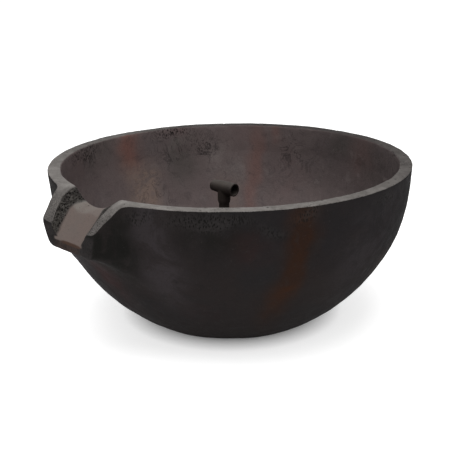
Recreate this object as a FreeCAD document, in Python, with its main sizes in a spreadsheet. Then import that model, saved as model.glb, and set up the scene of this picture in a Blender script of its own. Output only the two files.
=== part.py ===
import FreeCAD, Part
import math
import os
import Sketcher

# Spillway water bowl: a thick cast bowl with a short notch spout in its wall,
# a bulkhead fitting through its floor, and a removable riser that carries a
# diffuser tee.
#
# Frame: origin on the floor, on the vertical axis of the fitting and its riser,
# +Z up.  The bowl's own axis stands a little behind it, at +Y.  The spout
# points along -Y, so +X and -X are its two cheeks.  Millimetres.

doc = FreeCAD.newDocument("water_bowl")

# ---------------------------------------------------------------- dimensions
SIZES = [
    # bowl, outside profile: draft line, two wall arcs, foot arc, flat base
    ("rim_radius", 457.0), ("bowl_height", 398.0),
    ("shoulder_radius", 448.52), ("shoulder_height", 318.69),
    ("belly_radius", 408.93), ("belly_height", 191.51), ("upper_arc", 363.4),
    ("haunch_radius", 240.40), ("haunch_height", 10.97), ("lower_arc", 471.6),
    ("base_radius", 201.89), ("foot_arc", 73.1),
    ("rim_rounding", 3.0),
    # bowl, inside profile
    ("mouth_radius", 424.4),
    ("inner_shoulder_radius", 421.7), ("inner_shoulder_height", 321.85),
    ("inner_belly_radius", 385.06), ("inner_belly_height", 204.12), ("inner_upper_arc", 336.4),
    ("inner_haunch_radius", 322.90), ("inner_haunch_height", 114.93), ("inner_lower_arc", 444.6),
    ("floor_edge_radius", 278.24), ("floor_arc", 60.0), ("floor_level", 95.0),
    # recess under the floor, and the hole for the bulkhead fitting
    ("recess_radius", 168.0), ("recess_top_radius", 160.0), ("recess_depth", 62.0),
    ("fitting_offset", 22.5), ("fitting_hole_radius", 20.6),
    # spout, outside: tip section, middle section and root section
    ("spout_reach", 507.0),
    ("tip_top_half", 91.5), ("tip_top_level", 345.0),
    ("tip_side_half", 80.0), ("tip_side_level", 290.0),
    ("tip_low_half", 66.0), ("tip_low_level", 278.3),
    ("mid_reach", 457.0),
    ("mid_top_half", 123.0), ("mid_top_level", 399.0),
    ("mid_side_half", 102.0), ("mid_side_level", 285.0),
    ("mid_low_half", 84.0), ("mid_low_level", 272.0),
    ("root_reach", 405.0),
    ("root_top_half", 160.0), ("root_top_level", 399.0),
    ("root_side_half", 136.0), ("root_side_level", 279.0),
    ("root_low_half", 112.0), ("root_low_level", 262.0),
    # slope of the cheeks' top, from rim level down to the tip
    ("slope_start", 425.0), ("slope_one", 439.0), ("slope_one_level", 393.4),
    ("slope_two", 457.0), ("slope_two_level", 381.5),
    ("slope_three", 478.0), ("slope_three_level", 366.5),
    ("slope_tip_level", 337.2), ("slope_half_width", 175.0),
    # channel: a nearly level sill, a crease, then a steep floor to the lip
    ("channel_mouth_half", 84.5),
    ("sill_start", 366.0), ("sill_start_level", 368.3), ("sill_half", 46.0),
    ("crease_reach", 450.0), ("crease_level", 362.4), ("crease_half", 47.0),
    ("lip_level", 304.3), ("lip_half", 53.0),
    # pipework, three-quarter inch nominal
    ("pipe_radius", 13.335), ("pipe_bore_radius", 10.46), ("socket_clearance", 0.05),
    ("riser_foot_level", 118.0), ("riser_top_level", 311.3),
    # tee
    ("tee_axis_level", 327.3), ("tee_hub_radius", 16.8), ("tee_hub_low", 288.3),
    ("tee_half_run", 38.5), ("tee_small_radius", 13.95), ("tee_taper_start", 10.0),
    ("tee_bore_radius", 10.2), ("tee_socket_depth", 22.0), ("tee_small_socket_radius", 10.9),
    ("tee_hub_step", 15.3), ("tee_step_height", 4.6),
    # bulkhead fitting
    ("gasket_thickness", 3.0), ("gasket_radius", 31.0), ("barrel_radius", 19.8),
    ("flange_thickness", 7.0), ("flange_radius", 30.0), ("barrel_foot_level", 40.0),
    ("female_thread_radius", 13.2), ("male_thread_radius", 13.1),
    ("washer_thickness", 3.0), ("washer_radius", 30.0), ("loose_ring_clearance", 0.3),
    ("nut_thickness", 15.0), ("nut_across_flats", 54.0), ("nut_hole_radius", 19.9),
    # riser adapter
    ("collar_thickness", 9.0), ("collar_across_flats", 38.0), ("adapter_hub_radius", 19.0),
    ("adapter_top_level", 142.0), ("adapter_thread_foot", 80.0), ("adapter_bore_radius", 10.0),
    ("ring_centre_radius", 14.90), ("ring_section_radius", 1.50), ("ring_level", 134.0),
    ("ring_groove_radius", 16.42), ("ring_groove_half", 1.7),
    # supply adapter
    ("supply_foot_level", 5.0), ("supply_socket_depth", 22.0), ("supply_thread_top", 58.0),
    ("supply_hub_radius", 17.5), ("supply_socket_radius", 13.40),
]

sheet = doc.addObject("Spreadsheet::Sheet", "Sizes")
for row, (name, value) in enumerate(SIZES, start=1):
    sheet.set("A%d" % row, name)
    sheet.set("B%d" % row, repr(value))
    sheet.setAlias("B%d" % row, name)
doc.recompute()


class Size:
    """A sheet cell or a sum of cells: its expression text and its value."""

    def __init__(self, text, value):
        self.text = text
        self.value = float(value)

    @staticmethod
    def of(other):
        return other if isinstance(other, Size) else Size(repr(float(other)), other)

    def __add__(self, other):
        o = Size.of(other)
        return Size("(%s + %s)" % (self.text, o.text), self.value + o.value)

    __radd__ = __add__

    def __sub__(self, other):
        o = Size.of(other)
        return Size("(%s - %s)" % (self.text, o.text), self.value - o.value)

    def __rsub__(self, other):
        return Size.of(other) - self

    def __mul__(self, other):
        o = Size.of(other)
        return Size("(%s * %s)" % (self.text, o.text), self.value * o.value)

    __rmul__ = __mul__

    def __truediv__(self, other):
        o = Size.of(other)
        return Size("(%s / %s)" % (self.text, o.text), self.value / o.value)

    def __neg__(self):
        return Size("(-1 * %s)" % self.text, -self.value)


class Cells:
    pass


c = Cells()
for name, value in SIZES:
    setattr(c, name, Size("Sizes.%s" % name, value))


# ------------------------------------------------------------------- helpers
def body(label):
    made = doc.addObject("PartDesign::Body", label)
    made.Label = label
    return made


def plane(owner, role):
    for feature in owner.Origin.OriginFeatures:
        if feature.Role == role:
            return feature
    raise RuntimeError("no plane " + role)


def arc_middle(a, b, radius, side):
    """Middle of the minor arc from a to b; side is +1 if it bulges to the left of a-b."""
    mx, my = (a[0] + b[0]) / 2.0, (a[1] + b[1]) / 2.0
    dx, dy = b[0] - a[0], b[1] - a[1]
    chord = math.hypot(dx, dy)
    rise = radius - math.sqrt(radius * radius - chord * chord / 4.0)
    nx, ny = -dy / chord, dx / chord
    return (mx + side * rise * nx, my + side * rise * ny)


def outline(owner, role, name, points, arcs=None, offset=None):
    """A closed outline on one of the body's own planes.  Each point is bound to
    the sheet; arcs maps an edge's index to (radius, side)."""
    arcs = arcs or {}
    sketch = owner.newObject("Sketcher::SketchObject", name)
    sketch.AttachmentSupport = [(plane(owner, role), "")]
    sketch.MapMode = "FlatFace"
    if offset is not None:
        sketch.AttachmentOffset = FreeCAD.Placement(FreeCAD.Vector(0, 0, offset.value), FreeCAD.Rotation())
        sketch.setExpression("AttachmentOffset.Base.z", offset.text)
    pts = [(Size.of(x), Size.of(y)) for x, y in points]
    flat = [(x.value, y.value) for x, y in pts]
    ends = []
    for i in range(len(pts)):
        a, b = flat[i], flat[(i + 1) % len(pts)]
        va, vb = FreeCAD.Vector(a[0], a[1], 0), FreeCAD.Vector(b[0], b[1], 0)
        if i in arcs:
            radius, side = arcs[i]
            m = arc_middle(a, b, Size.of(radius).value, side)
            geo = sketch.addGeometry(Part.Arc(va, FreeCAD.Vector(m[0], m[1], 0), vb), False)
            start = 1 if (sketch.getPoint(geo, 1) - va).Length < 1e-6 else 2
            ends.append((geo, start, 3 - start))
        else:
            geo = sketch.addGeometry(Part.LineSegment(va, vb), False)
            ends.append((geo, 1, 2))
    for i in range(len(ends)):
        geo, _, last = ends[i]
        nxt, first, _ = ends[(i + 1) % len(ends)]
        sketch.addConstraint(Sketcher.Constraint("Coincident", geo, last, nxt, first))
    for i, (x, y) in enumerate(pts):
        geo, first, _ = ends[i]
        for kind, size, axis in (("DistanceX", x, -2), ("DistanceY", y, -1)):
            if abs(size.value) < 1e-9:
                sketch.addConstraint(Sketcher.Constraint("PointOnObject", geo, first, axis))
            else:
                k = sketch.addConstraint(Sketcher.Constraint(kind, -1, 1, geo, first, size.value))
                label = "%s%d" % ("across" if kind == "DistanceX" else "along", i)
                sketch.renameConstraint(k, label)
                sketch.setExpression("Constraints." + label, size.text)
    for i, (radius, side) in arcs.items():
        radius = Size.of(radius)
        k = sketch.addConstraint(Sketcher.Constraint("Radius", ends[i][0], radius.value))
        sketch.renameConstraint(k, "radius%d" % i)
        sketch.setExpression("Constraints.radius%d" % i, radius.text)
    sketch.Visibility = False
    return sketch


def circle(owner, role, name, radius, x=0.0, y=0.0, offset=None):
    sketch = owner.newObject("Sketcher::SketchObject", name)
    sketch.AttachmentSupport = [(plane(owner, role), "")]
    sketch.MapMode = "FlatFace"
    if offset is not None:
        sketch.AttachmentOffset = FreeCAD.Placement(FreeCAD.Vector(0, 0, offset.value), FreeCAD.Rotation())
        sketch.setExpression("AttachmentOffset.Base.z", offset.text)
    x, y = Size.of(x), Size.of(y)
    geo = sketch.addGeometry(Part.Circle(FreeCAD.Vector(x.value, y.value, 0), FreeCAD.Vector(0, 0, 1), radius.value), False)
    k = sketch.addConstraint(Sketcher.Constraint("Radius", geo, radius.value))
    sketch.renameConstraint(k, "radius")
    sketch.setExpression("Constraints.radius", radius.text)
    for kind, size, axis in (("DistanceX", x, -2), ("DistanceY", y, -1)):
        if abs(size.value) < 1e-9:
            sketch.addConstraint(Sketcher.Constraint("PointOnObject", geo, 3, axis))
        else:
            k = sketch.addConstraint(Sketcher.Constraint(kind, -1, 1, geo, 3, size.value))
            label = "across" if kind == "DistanceX" else "along"
            sketch.renameConstraint(k, label)
            sketch.setExpression("Constraints." + label, size.text)
    return sketch


def turned(owner, name, sketch, axis="V_Axis", cut=False):
    feature = owner.newObject("PartDesign::Groove" if cut else "PartDesign::Revolution", name)
    feature.Profile = sketch
    feature.ReferenceAxis = (sketch, [axis])
    feature.Angle = 360.0
    doc.recompute()
    return feature


def extruded(owner, name, sketch, length, cut=False, reverse=False, both=False):
    feature = owner.newObject("PartDesign::Pocket" if cut else "PartDesign::Pad", name)
    feature.Profile = sketch
    feature.Type = 0
    feature.Length = length.value
    feature.setExpression("Length", length.text)
    if both:
        if "SideType" in feature.PropertiesList:
            feature.SideType = "Symmetric"
        else:
            feature.Midplane = True
    feature.Reversed = reverse
    doc.recompute()
    return feature


def lofted(owner, name, sections, cut=False, ruled=False):
    feature = owner.newObject("PartDesign::SubtractiveLoft" if cut else "PartDesign::AdditiveLoft", name)
    feature.Profile = sections[0]
    feature.Sections = sections[1:]
    feature.Ruled = ruled
    doc.recompute()
    return feature


def hexagon(owner, name, flats, offset):
    """Hexagon with two corners on the X axis."""
    a = flats / 2.0
    r = flats / math.sqrt(3.0)
    return outline(owner, "XY_Plane", name,
                   [(r, 0), (r / 2.0, a), (-(r / 2.0), a), (-r, 0), (-(r / 2.0), -a), (r / 2.0, -a)],
                   offset=offset)


def volume(owner):
    return owner.Shape.Volume


# ------------------------------------------------------------------ the bowl
bowl = body("bowl_shell")
bowl.Placement = FreeCAD.Placement(FreeCAD.Vector(0, c.fitting_offset.value, 0), FreeCAD.Rotation())
bowl.setExpression("Placement.Base.y", c.fitting_offset.text)
outer = outline(bowl, "XZ_Plane", "outer_profile", [
    (0, 0), (c.base_radius, 0), (c.haunch_radius, c.haunch_height), (c.belly_radius, c.belly_height),
    (c.shoulder_radius, c.shoulder_height), (c.rim_radius - 0.3, c.bowl_height - c.rim_rounding),
    (c.rim_radius - c.rim_rounding, c.bowl_height), (0, c.bowl_height)],
    arcs={1: (c.foot_arc, -1), 2: (c.lower_arc, -1), 3: (c.upper_arc, -1), 5: (c.rim_rounding, -1)})
turned(bowl, "outer_form", outer)


def spout_section(name, top_half, top, side_half, side, low_half, low, reach):
    return outline(bowl, "XZ_Plane", name, [
        (-low_half, low), (low_half, low), (side_half, side), (top_half, top),
        (-top_half, top), (-side_half, side)], offset=reach)


root = spout_section("spout_root", c.root_top_half, c.root_top_level, c.root_side_half,
                     c.root_side_level, c.root_low_half, c.root_low_level, c.root_reach)
middle = spout_section("spout_middle", c.mid_top_half, c.mid_top_level, c.mid_side_half,
                       c.mid_side_level, c.mid_low_half, c.mid_low_level, c.mid_reach)
tip = spout_section("spout_tip", c.tip_top_half, c.tip_top_level, c.tip_side_half,
                    c.tip_side_level, c.tip_low_half, c.tip_low_level, c.spout_reach)
lofted(bowl, "spout_block", [root, middle, tip])

# The cheeks' top falls from rim level to the tip; it also trims the block flush
# with the rim.
slope = outline(bowl, "YZ_Plane", "cheek_slope", [
    (-c.slope_start, c.bowl_height), (-c.slope_one, c.slope_one_level), (-c.slope_two, c.slope_two_level),
    (-c.slope_three, c.slope_three_level), (-c.spout_reach, c.slope_tip_level),
    (-(c.spout_reach + 8), c.slope_tip_level - 8), (-(c.spout_reach + 8), c.bowl_height + 20),
    (-(c.root_reach - 60), c.bowl_height + 20), (-(c.root_reach - 60), c.bowl_height)])
before = volume(bowl)
extruded(bowl, "cheek_slope_cut", slope, c.slope_half_width * 2, cut=True, both=True)
assert volume(bowl) < before - 1000, "cheek slope cuts nothing"

# The inside of the bowl.
inner = outline(bowl, "XZ_Plane", "inner_profile", [
    (0, c.floor_level), (c.floor_edge_radius, c.floor_level), (c.inner_haunch_radius, c.inner_haunch_height),
    (c.inner_belly_radius, c.inner_belly_height), (c.inner_shoulder_radius, c.inner_shoulder_height),
    (c.mouth_radius, c.bowl_height - c.rim_rounding), (c.mouth_radius + c.rim_rounding, c.bowl_height),
    (c.mouth_radius + c.rim_rounding, c.bowl_height + 20), (0, c.bowl_height + 20)],
    arcs={1: (c.floor_arc, -1), 2: (c.inner_lower_arc, -1), 3: (c.inner_upper_arc, -1), 5: (c.rim_rounding, 1)})
before = volume(bowl)
turned(bowl, "inner_form", inner, cut=True)
assert volume(bowl) < before * 0.6, "inner form cuts nothing"


# The channel through the wall and along the spout.
def channel_section(name, half, level, reach):
    # the sides run from the floor's edges to the mouth's corners at rim level
    over = 10.0
    lean = (c.channel_mouth_half - half) / (c.bowl_height - level)
    top_half = c.channel_mouth_half + lean * over
    return outline(bowl, "XZ_Plane", name, [
        (-half, level), (half, level), (top_half, c.bowl_height + over), (-top_half, c.bowl_height + over)],
        offset=reach)


sill_a = channel_section("channel_inside", c.sill_half, c.sill_start_level, c.sill_start)
sill_b = channel_section("channel_crease", c.crease_half, c.crease_level, c.crease_reach)
before = volume(bowl)
lofted(bowl, "channel_sill", [sill_a, sill_b], cut=True, ruled=True)
assert volume(bowl) < before - 1000, "sill cuts nothing"
steep_a = channel_section("channel_steep_start", c.crease_half, c.crease_level, c.crease_reach)
steep_b = channel_section("channel_lip", c.lip_half, c.lip_level, c.spout_reach)
before = volume(bowl)
lofted(bowl, "channel_steep", [steep_a, steep_b], cut=True, ruled=True)
assert volume(bowl) < before - 1000, "steep channel cuts nothing"

# Recess under the floor for the fitting's nut, leaving a foot ring.
recess = outline(bowl, "XZ_Plane", "recess_profile", [
    (0, -5), (c.recess_radius, -5), (c.recess_radius, 0), (c.recess_top_radius, c.recess_depth), (0, c.recess_depth)])
before = volume(bowl)
turned(bowl, "recess", recess, cut=True)
assert volume(bowl) < before - 1000, "recess cuts nothing"
hole = circle(bowl, "XY_Plane", "fitting_hole_circle", c.fitting_hole_radius, 0, -c.fitting_offset)
before = volume(bowl)
extruded(bowl, "fitting_hole", hole, c.floor_level + 20, cut=True, reverse=True)
assert volume(bowl) < before - 1000, "fitting hole cuts nothing"

# ------------------------------------------------------- bulkhead fitting
gasket = body("flange_gasket")
ring = outline(gasket, "XZ_Plane", "gasket_section", [
    (c.barrel_radius + c.loose_ring_clearance, c.floor_level), (c.gasket_radius, c.floor_level),
    (c.gasket_radius, c.floor_level + c.gasket_thickness),
    (c.barrel_radius + c.loose_ring_clearance, c.floor_level + c.gasket_thickness)])
turned(gasket, "gasket_ring", ring)

flange_low = c.floor_level + c.gasket_thickness
flange_top = flange_low + c.flange_thickness
barrel = body("bulkhead_body")
section = outline(barrel, "XZ_Plane", "bulkhead_section", [
    (c.female_thread_radius, c.barrel_foot_level), (c.barrel_radius - 1, c.barrel_foot_level),
    (c.barrel_radius, c.barrel_foot_level + 1), (c.barrel_radius, flange_low),
    (c.flange_radius, flange_low), (c.flange_radius, flange_top - 2), (c.flange_radius - 2, flange_top),
    (c.female_thread_radius, flange_top)])
turned(barrel, "bulkhead_form", section)

washer_top = c.recess_depth
washer_low = washer_top - c.washer_thickness
washer = body("slip_washer")
ring = outline(washer, "XZ_Plane", "washer_section", [
    (c.barrel_radius + c.loose_ring_clearance, washer_low), (c.washer_radius, washer_low),
    (c.washer_radius, washer_top), (c.barrel_radius + c.loose_ring_clearance, washer_top)])
turned(washer, "washer_ring", ring)

nut = body("lock_nut")
nut_low = washer_low - c.nut_thickness
flats = hexagon(nut, "nut_hexagon", c.nut_across_flats, nut_low)
extruded(nut, "nut_block", flats, c.nut_thickness)
round_hole = circle(nut, "XY_Plane", "nut_hole_circle", c.nut_hole_radius, offset=nut_low)
before = volume(nut)
extruded(nut, "nut_hole", round_hole, c.nut_thickness + 1, cut=True, reverse=True)
assert volume(nut) < before - 1000, "nut hole cuts nothing"
corner = outline(nut, "XZ_Plane", "nut_corner_section", [
    (c.nut_across_flats / 2 + 0.5, nut_low), (c.nut_across_flats / 2 + 8, nut_low),
    (c.nut_across_flats / 2 + 8, nut_low + 4.3)])
turned(nut, "nut_corners", corner, cut=True)

# ------------------------------------------------------------ riser adapter
adapter = body("riser_adapter")
collar_top = flange_top + c.collar_thickness
flats = hexagon(adapter, "collar_hexagon", c.collar_across_flats, flange_top)
extruded(adapter, "collar", flats, c.collar_thickness)
hub = outline(adapter, "XZ_Plane", "adapter_section", [
    (0, c.adapter_thread_foot), (c.male_thread_radius - 1, c.adapter_thread_foot),
    (c.male_thread_radius, c.adapter_thread_foot + 1), (c.male_thread_radius, flange_top),
    (c.adapter_hub_radius - 1.5, flange_top), (c.adapter_hub_radius - 1.5, collar_top),
    (c.adapter_hub_radius, collar_top), (c.adapter_hub_radius, c.adapter_top_level - 1),
    (c.adapter_hub_radius - 1, c.adapter_top_level), (0, c.adapter_top_level)])
turned(adapter, "adapter_form", hub)
socket_radius = c.pipe_radius + c.socket_clearance
bore = outline(adapter, "XZ_Plane", "adapter_bore_section", [
    (0, c.adapter_thread_foot - 1), (c.adapter_bore_radius, c.adapter_thread_foot - 1),
    (c.adapter_bore_radius, c.riser_foot_level), (socket_radius, c.riser_foot_level),
    (socket_radius, c.ring_level - c.ring_groove_half), (c.ring_groove_radius, c.ring_level - c.ring_groove_half),
    (c.ring_groove_radius, c.ring_level + c.ring_groove_half), (socket_radius, c.ring_level + c.ring_groove_half),
    (socket_radius, c.adapter_top_level - 1), (socket_radius + 1, c.adapter_top_level),
    (socket_radius + 1, c.adapter_top_level + 1), (0, c.adapter_top_level + 1)])
before = volume(adapter)
turned(adapter, "adapter_bore", bore, cut=True)
assert volume(adapter) < before * 0.8, "adapter bore cuts nothing"

# The sealing ring in the adapter's groove.
seal = doc.addObject("Part::Torus", "adapter_o_ring")
seal.Label = "adapter_o_ring"
seal.setExpression("Radius1", c.ring_centre_radius.text)
seal.setExpression("Radius2", c.ring_section_radius.text)
seal.Placement = FreeCAD.Placement(FreeCAD.Vector(0, 0, c.ring_level.value), FreeCAD.Rotation())
seal.setExpression("Placement.Base.z", c.ring_level.text)

# ----------------------------------------------------------- supply adapter
supply = body("supply_adapter")
supply_collar_top = c.barrel_foot_level
supply_collar_low = supply_collar_top - c.collar_thickness
flats = hexagon(supply, "supply_collar_hexagon", c.collar_across_flats, supply_collar_low)
extruded(supply, "supply_collar", flats, c.collar_thickness)
hub = outline(supply, "XZ_Plane", "supply_section", [
    (0, c.supply_foot_level), (c.supply_hub_radius - 1, c.supply_foot_level),
    (c.supply_hub_radius, c.supply_foot_level + 1), (c.supply_hub_radius, supply_collar_top),
    (c.male_thread_radius, supply_collar_top), (c.male_thread_radius, c.supply_thread_top - 1),
    (c.male_thread_radius - 1, c.supply_thread_top), (0, c.supply_thread_top)])
turned(supply, "supply_form", hub)
bore = outline(supply, "XZ_Plane", "supply_bore_section", [
    (0, c.supply_foot_level - 1), (c.supply_socket_radius, c.supply_foot_level - 1),
    (c.supply_socket_radius, c.supply_foot_level + c.supply_socket_depth),
    (c.adapter_bore_radius, c.supply_foot_level + c.supply_socket_depth),
    (c.adapter_bore_radius, c.supply_thread_top + 1), (0, c.supply_thread_top + 1)])
before = volume(supply)
turned(supply, "supply_bore", bore, cut=True)
assert volume(supply) < before * 0.8, "supply bore cuts nothing"

# --------------------------------------------------------------- riser pipe
riser = body("riser_pipe")
wall = outline(riser, "XZ_Plane", "riser_section", [
    (c.pipe_bore_radius, c.riser_foot_level), (c.pipe_radius - 0.8, c.riser_foot_level),
    (c.pipe_radius, c.riser_foot_level + 0.8), (c.pipe_radius, c.riser_top_level - 0.8),
    (c.pipe_radius - 0.8, c.riser_top_level), (c.pipe_bore_radius, c.riser_top_level)])
turned(riser, "riser_tube", wall)

# ------------------------------------------------------------- diffuser tee
tee = body("diffuser_tee")
level = c.tee_axis_level
run = outline(tee, "XZ_Plane", "run_section", [
    (-c.tee_half_run, level), (c.tee_half_run, level), (c.tee_half_run, level + c.tee_hub_radius - 1),
    (c.tee_half_run - 1, level + c.tee_hub_radius), (-c.tee_taper_start, level + c.tee_hub_radius),
    (-(c.tee_half_run - 1), level + c.tee_small_radius), (-c.tee_half_run, level + c.tee_small_radius - 1)])
run_turn = tee.newObject("PartDesign::Revolution", "run_form")
run_turn.Profile = run
# the run is turned about its own lower edge, which lies on its axis
run_turn.ReferenceAxis = (run, ["Edge1"])
run_turn.Angle = 360.0
doc.recompute()
branch = outline(tee, "XZ_Plane", "branch_section", [
    (0, c.tee_hub_low), (c.tee_hub_step - 0.8, c.tee_hub_low), (c.tee_hub_step, c.tee_hub_low + 0.8),
    (c.tee_hub_step, c.tee_hub_low + c.tee_step_height), (c.tee_hub_radius - 0.4, c.tee_hub_low + c.tee_step_height + 1.5),
    (c.tee_hub_radius - 0.4, level), (0, level)])
turned(tee, "branch_form", branch)
wide = c.pipe_radius + 0.065
run_bore = outline(tee, "XZ_Plane", "run_bore_section", [
    (-(c.tee_half_run + 1), level), (c.tee_half_run + 1, level), (c.tee_half_run + 1, level + wide),
    (c.tee_half_run - c.tee_socket_depth, level + wide), (c.tee_half_run - c.tee_socket_depth, level + c.tee_bore_radius),
    (-(c.tee_half_run - c.tee_socket_depth), level + c.tee_bore_radius),
    (-(c.tee_half_run - c.tee_socket_depth), level + c.tee_small_socket_radius),
    (-(c.tee_half_run + 1), level + c.tee_small_socket_radius)])
run_cut = tee.newObject("PartDesign::Groove", "run_bore")
run_cut.Profile = run_bore
run_cut.ReferenceAxis = (run_bore, ["Edge1"])
run_cut.Angle = 360.0
before = volume(tee)
doc.recompute()
assert volume(tee) < before * 0.8, "run bore cuts nothing"
branch_bore = outline(tee, "XZ_Plane", "branch_bore_section", [
    (0, c.tee_hub_low - 1), (socket_radius, c.tee_hub_low - 1), (socket_radius, c.riser_top_level),
    (c.tee_bore_radius, c.riser_top_level), (c.tee_bore_radius, level), (0, level)])
before = volume(tee)
turned(tee, "branch_bore", branch_bore, cut=True)
assert volume(tee) < before - 1000, "branch bore cuts nothing"

# ---------------------------------------------------------- check and write
doc.recompute()
faults = []
for thing in doc.Objects:
    if "Invalid" in thing.State or "Error" in thing.State:
        faults.append("%s: %s" % (thing.Label, thing.State))
NODES = [bowl, gasket, barrel, washer, nut, adapter, seal, supply, riser, tee]
for node in NODES:
    if node.Shape.isNull() or not node.Shape.isValid() or len(node.Shape.Solids) != 1:
        faults.append("%s: null, invalid or not one solid" % node.Label)
if faults:
    raise RuntimeError("; ".join(faults))
os.makedirs("parts", exist_ok=True)
for node in NODES:
    box = node.Shape.BoundBox
    print("%-16s %12.0f mm3  x %.1f..%.1f  y %.1f..%.1f  z %.1f..%.1f" % (
        node.Label, node.Shape.Volume, box.XMin, box.XMax, box.YMin, box.YMax, box.ZMin, box.ZMax))
    node.Shape.exportStep("parts/%s.step" % node.Label)
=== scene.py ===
import math

import bpy
import numpy as np
from mathutils import Matrix, Vector


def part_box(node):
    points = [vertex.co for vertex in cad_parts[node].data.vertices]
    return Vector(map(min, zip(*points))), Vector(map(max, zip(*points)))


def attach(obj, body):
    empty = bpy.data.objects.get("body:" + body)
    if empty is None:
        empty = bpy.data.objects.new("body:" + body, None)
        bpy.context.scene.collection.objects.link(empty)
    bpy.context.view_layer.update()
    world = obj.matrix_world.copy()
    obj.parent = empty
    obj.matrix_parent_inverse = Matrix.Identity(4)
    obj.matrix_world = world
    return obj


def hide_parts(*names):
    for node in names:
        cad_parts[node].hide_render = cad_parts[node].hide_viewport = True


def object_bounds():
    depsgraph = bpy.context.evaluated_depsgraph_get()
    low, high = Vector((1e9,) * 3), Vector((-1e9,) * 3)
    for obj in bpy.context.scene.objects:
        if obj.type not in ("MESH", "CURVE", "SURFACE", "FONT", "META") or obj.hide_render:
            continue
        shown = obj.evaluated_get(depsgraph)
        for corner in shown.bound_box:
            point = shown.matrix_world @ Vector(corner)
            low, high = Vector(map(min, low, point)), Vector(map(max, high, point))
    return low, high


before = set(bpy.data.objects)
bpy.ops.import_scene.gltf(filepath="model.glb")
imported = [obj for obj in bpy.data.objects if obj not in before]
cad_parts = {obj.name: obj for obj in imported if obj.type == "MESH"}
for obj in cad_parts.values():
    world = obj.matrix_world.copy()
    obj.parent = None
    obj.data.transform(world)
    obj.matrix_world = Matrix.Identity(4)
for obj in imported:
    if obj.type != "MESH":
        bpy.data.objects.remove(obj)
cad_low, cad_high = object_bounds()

scene = bpy.context.scene
MM = 0.001
# The bowl's own axis stands behind the riser's, which is the frame's origin.
shell_low, shell_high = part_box("bowl_shell")
AXIS_Y = shell_high.y - shell_high.x          # the rim is round, so this is the axis
RIM_Z = shell_high.z
TEE_LOW, TEE_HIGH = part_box("diffuser_tee")
RISER_LOW, RISER_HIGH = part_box("riser_pipe")


# ------------------------------------------------------------------ camera
R_RIM = shell_high.x
cam_data = bpy.data.cameras.new("camera")
cam = bpy.data.objects.new("camera", cam_data)
scene.collection.objects.link(cam)
cam_data.sensor_width = 36.0
cam_data.lens = 71.74
cam_data.clip_start = 0.05
cam_data.clip_end = 60.0
cx = Vector((0.70573, 0.70832, -0.014885))
cy = Vector((-0.20851, 0.22774, 0.951134))
cz = cx.cross(cy).normalized()
cy = cz.cross(cx).normalized()
rot = Matrix((cx, cy, cz)).transposed().to_4x4()
cam_at = Vector((1.56942, -1.56942 + AXIS_Y, RIM_Z + 0.54312))
cam.matrix_world = Matrix.Translation(cam_at) @ rot
scene.camera = cam


# --------------------------------------------------------- small numpy tools
def lattice(ix, iy, iz, seed):
    """A repeatable random number, 0 to 1, at each whole-number point."""
    n = (ix.astype(np.int64) * 374761393 + iy.astype(np.int64) * 668265263
         + iz.astype(np.int64) * 2147483647 + seed * 1274126177) & 0xFFFFFFFF
    n = ((n ^ (n >> 13)) * 1274126177) & 0xFFFFFFFF
    n = ((n ^ (n >> 16)) * 2246822519) & 0xFFFFFFFF
    n = n ^ (n >> 15)
    return (n & 0xFFFFFF) / float(0xFFFFFF)


def noise(p, size, seed=0):
    """Smooth noise, -1 to 1, whose lumps are about size across."""
    q = p / size
    f = np.floor(q)
    t = q - f
    t = t * t * t * (t * (t * 6 - 15) + 10)
    i = f.astype(np.int64)
    out = 0
    for a in (0, 1):
        for b in (0, 1):
            for c in (0, 1):
                w = ((t[:, 0] if a else 1 - t[:, 0]) * (t[:, 1] if b else 1 - t[:, 1])
                     * (t[:, 2] if c else 1 - t[:, 2]))
                out = out + w * lattice(i[:, 0] + a, i[:, 1] + b, i[:, 2] + c, seed)
    return out * 2 - 1


def pits(p, size, seed, share, reach):
    """Depth 0 to 1 of round pits scattered one to a cell of that size; share of
    the cells hold one, and reach is its radius over the cell's size."""
    q = p / size
    base = np.floor(q).astype(np.int64)
    best = np.zeros(len(p))
    for a in (-1, 0, 1):
        for b in (-1, 0, 1):
            for c in (-1, 0, 1):
                ix, iy, iz = base[:, 0] + a, base[:, 1] + b, base[:, 2] + c
                on = lattice(ix, iy, iz, seed) < share
                dx = q[:, 0] - ix - (0.2 + 0.6 * lattice(ix, iy, iz, seed + 1))
                dy = q[:, 1] - iy - (0.2 + 0.6 * lattice(ix, iy, iz, seed + 2))
                dz = q[:, 2] - iz - (0.2 + 0.6 * lattice(ix, iy, iz, seed + 3))
                rad = reach * (0.55 + 0.45 * lattice(ix, iy, iz, seed + 4))
                d = 1 - (dx * dx + dy * dy + dz * dz) / (rad * rad)
                best = np.maximum(best, np.where(on, np.clip(d, 0, 1), 0))
    return best


def smax(a, b, k):
    h = np.clip(0.5 + 0.5 * (a - b) / k, 0, 1)
    return b * (1 - h) + a * h + k * h * (1 - h)


def smin(a, b, k):
    return -smax(-a, -b, k)


def step(x, low, high):
    t = np.clip((x - low) / (high - low), 0, 1)
    return t * t * (3 - 2 * t)


def arc_points(a, b, radius, side, n=24):
    (ax, ay), (bx, by) = a, b
    mx, my = (ax + bx) / 2, (ay + by) / 2
    dx, dy = bx - ax, by - ay
    chord = math.hypot(dx, dy)
    off = math.sqrt(radius * radius - chord * chord / 4)
    ox, oy = mx + side * off * dy / chord, my - side * off * dx / chord
    a0, a1 = math.atan2(ay - oy, ax - ox), math.atan2(by - oy, bx - ox)
    while a1 - a0 > math.pi:
        a1 -= 2 * math.pi
    while a1 - a0 < -math.pi:
        a1 += 2 * math.pi
    return [(ox + radius * math.cos(a0 + (a1 - a0) * i / n), oy + radius * math.sin(a0 + (a1 - a0) * i / n))
            for i in range(1, n + 1)]


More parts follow.
